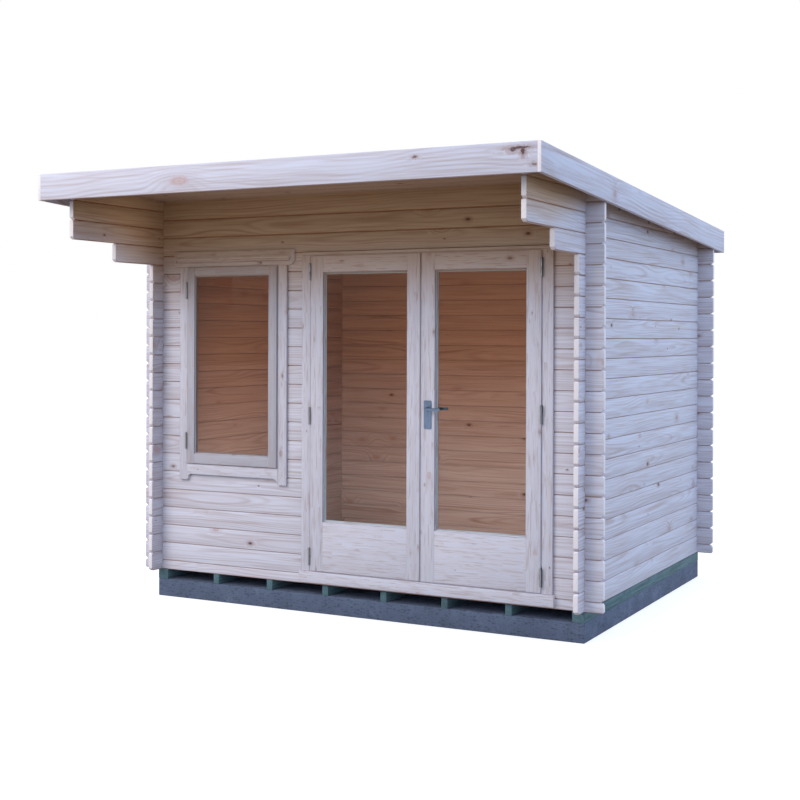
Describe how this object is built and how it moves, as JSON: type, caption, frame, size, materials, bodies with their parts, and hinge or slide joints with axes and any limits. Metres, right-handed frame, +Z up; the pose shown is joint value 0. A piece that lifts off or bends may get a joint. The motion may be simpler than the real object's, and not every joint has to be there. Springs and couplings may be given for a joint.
{
  "type": "log cabin",
  "caption": "Small garden log cabin of interlocking timber logs with a pent roof, a front canopy, glazed double doors that open outwards and a side-hung window beside them.",
  "frame": {"origin": "centre of the model's bounding box, under the concrete base, on the ground", "axes": "+Z up, the front with the doors and canopy faces -Y, +X to the right seen from the front"},
  "size_m": [3.123, 3.495, 2.5959],
  "materials": {
    "spruce_logs": "planed untreated spruce, cool and pale, with knots",
    "spruce_joinery": "planed finger-jointed spruce, pale",
    "spruce_fascia": "planed spruce board with bold grain",
    "spruce_boards": "planed spruce boards in shade",
    "treated_wood": "pressure-treated green timber",
    "concrete": "rough cast concrete",
    "roofing_felt": "mineral felt",
    "glass": "clear float glass",
    "steel": "satin"
  },
  "bodies": {
    "cabin": {"concrete_base": "concrete", "outer_bearers": "treated_wood", "inner_bearers": "treated_wood", "floor_boards": "spruce_boards", "front_foot_log": "spruce_logs", "front_wall_left": "spruce_logs", "front_wall_middle": "spruce_logs", "front_wall_right": "spruce_logs", "front_wall_top": "spruce_logs", "back_wall": "spruce_logs", "left_wall": "spruce_logs", "right_wall": "spruce_logs", "purlins": "spruce_boards", "roof_boards": "spruce_boards", "roof_felt": "roofing_felt", "front_fascia": "spruce_fascia", "back_fascia": "spruce_fascia", "side_fascias": "spruce_fascia", "door_frame": "spruce_joinery", "door_threshold": "spruce_joinery", "door_casings": "spruce_joinery", "door_inner_trim": "spruce_joinery", "left_hinge_pins": "steel", "right_hinge_pins": "steel", "window_frame": "spruce_joinery", "window_sash": "spruce_joinery", "window_glass": "glass", "window_casings": "spruce_joinery", "window_head_board": "spruce_joinery", "window_sill_board": "spruce_joinery", "window_inner_trim": "spruce_joinery", "window_hinges": "steel"},
    "left_door": {"left_door_stiles": "spruce_joinery", "left_door_rails": "spruce_joinery", "left_door_glass": "glass", "left_door_strip": "spruce_joinery", "left_hinge_sleeves": "steel"},
    "right_door": {"right_door_stiles": "spruce_joinery", "right_door_rails": "spruce_joinery", "right_door_glass": "glass", "right_hinge_sleeves": "steel", "handle_plates": "steel"},
    "door_lever": {"handle_levers": "steel", "handle_spindle": "steel"}
  },
  "joints": [
    {"name": "left_door_hinge", "type": "hinge", "parent": "cabin", "child": "left_door", "pos_m": [-0.292, -0.8015, 1.172], "axis": [0, 0, -1], "range_deg": [0, 105]},
    {"name": "right_door_hinge", "type": "hinge", "parent": "cabin", "child": "right_door", "pos_m": [1.192, -0.8015, 1.172], "axis": [0, 0, 1], "range_deg": [0, 105]},
    {"name": "lever_turn", "type": "hinge", "parent": "right_door", "child": "door_lever", "pos_m": [0.4965, -0.7955, 1.248], "axis": [0, 1, 0], "range_deg": [0, 40], "stiffness_Nm_per_rad": 2.5, "springref_deg": -11.46}
  ]
}
